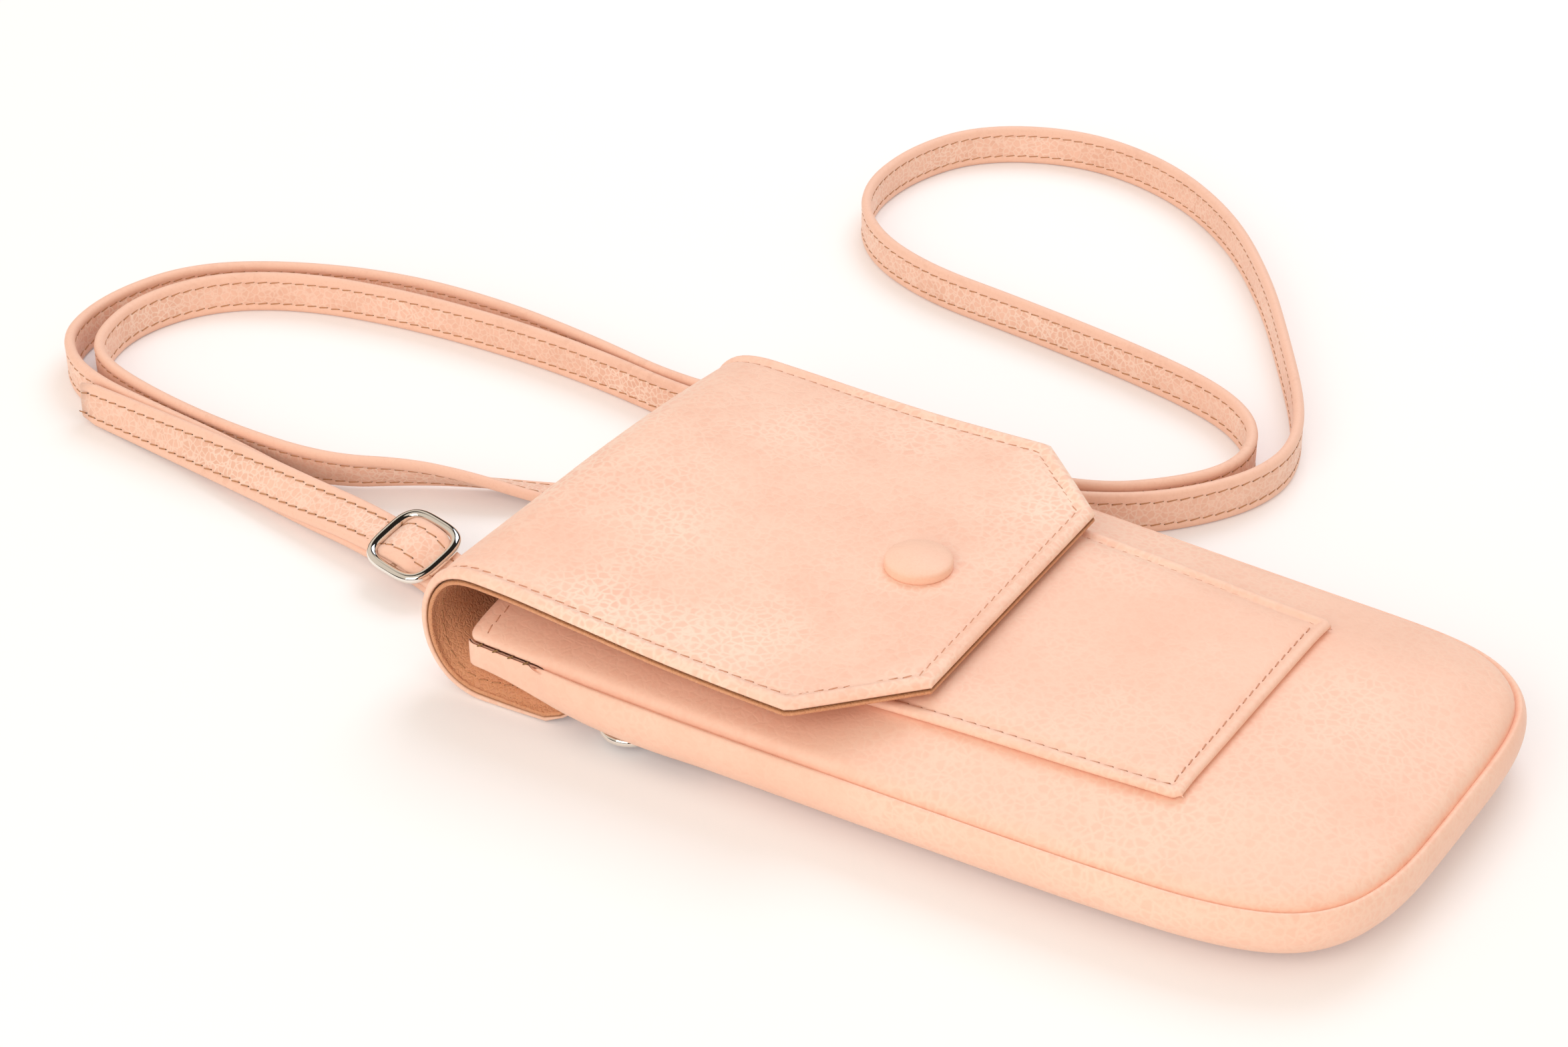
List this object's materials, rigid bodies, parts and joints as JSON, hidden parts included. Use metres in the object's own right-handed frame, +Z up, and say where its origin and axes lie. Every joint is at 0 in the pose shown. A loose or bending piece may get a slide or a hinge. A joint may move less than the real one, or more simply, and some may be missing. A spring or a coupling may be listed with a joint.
{
  "type": "phone pouch",
  "caption": "Soft leather phone pouch with fold-over snap flap, outside card pocket and a thin shoulder strap with slider, lying on its back with the strap laid beside it.",
  "frame": {"origin": "middle of the base of the pouch and flap, on the surface it lies on, measured without the strap", "axes": "+X along the pouch from its mouth to its rounded bottom, +Y across, +Z up out of the front"},
  "size_m": [0.362, 0.2828, 0.0311],
  "materials": {
    "leather": "soft pale peach leather, fine even grain, satin",
    "lining": "matt peach lining leather",
    "strap": "pale peach strap leather with two rows of brown stitching",
    "nickel": "polished nickel"
  },
  "bodies": {
    "pouch": {"pouch_back": "leather", "pouch_gusset": "leather", "pouch_front": "leather", "lining_back": "lining", "lining_gusset": "lining", "lining_front": "lining", "card_pocket": "leather", "snap_socket": "nickel", "back_strip": "leather", "back_strip_lining": "lining", "fold": "leather", "fold_lining": "lining", "ring_tab_near": "leather", "ring_tab_far": "leather", "strap_long": "strap", "strap_near": "strap", "strap_return": "strap", "strap_tail": "strap", "strap_short": "strap", "strap_far": "strap", "strap_end_near": "strap", "strap_end_far": "strap"},
    "flap": {"flap": "leather", "flap_lining": "lining", "button_cap": "leather", "snap_stud": "nickel"},
    "ring_near": {"ring_near": "nickel"},
    "ring_far": {"ring_far": "nickel"},
    "slider": {"slider": "nickel", "strap_in_slider": "strap"}
  },
  "joints": [
    {"name": "flap_fold", "type": "hinge", "parent": "pouch", "child": "flap", "pos_m": [-0.0903, 0, 0.0184], "axis": [0, -1, 0], "range_deg": [0, 160], "deforming": ["fold", "fold_lining"]},
    {"name": "ring_near_swing", "type": "hinge", "parent": "pouch", "child": "ring_near", "pos_m": [-0.0554, -0.042, 0.00295], "axis": [1, 0, 0], "range_deg": [-5, 90], "deforming": ["strap_end_near"]},
    {"name": "ring_far_swing", "type": "hinge", "parent": "pouch", "child": "ring_far", "pos_m": [-0.0554, 0.042, 0.00295], "axis": [-1, 0, 0], "range_deg": [-5, 90], "deforming": ["strap_end_far"]},
    {"name": "slider_slide", "type": "slide", "parent": "pouch", "child": "slider", "axis": [0.9853, -0.1561, -0.0698], "range_m": [-0.025, 0.0045], "deforming": ["strap_near", "strap_tail", "strap_return", "strap_short"]}
  ]
}
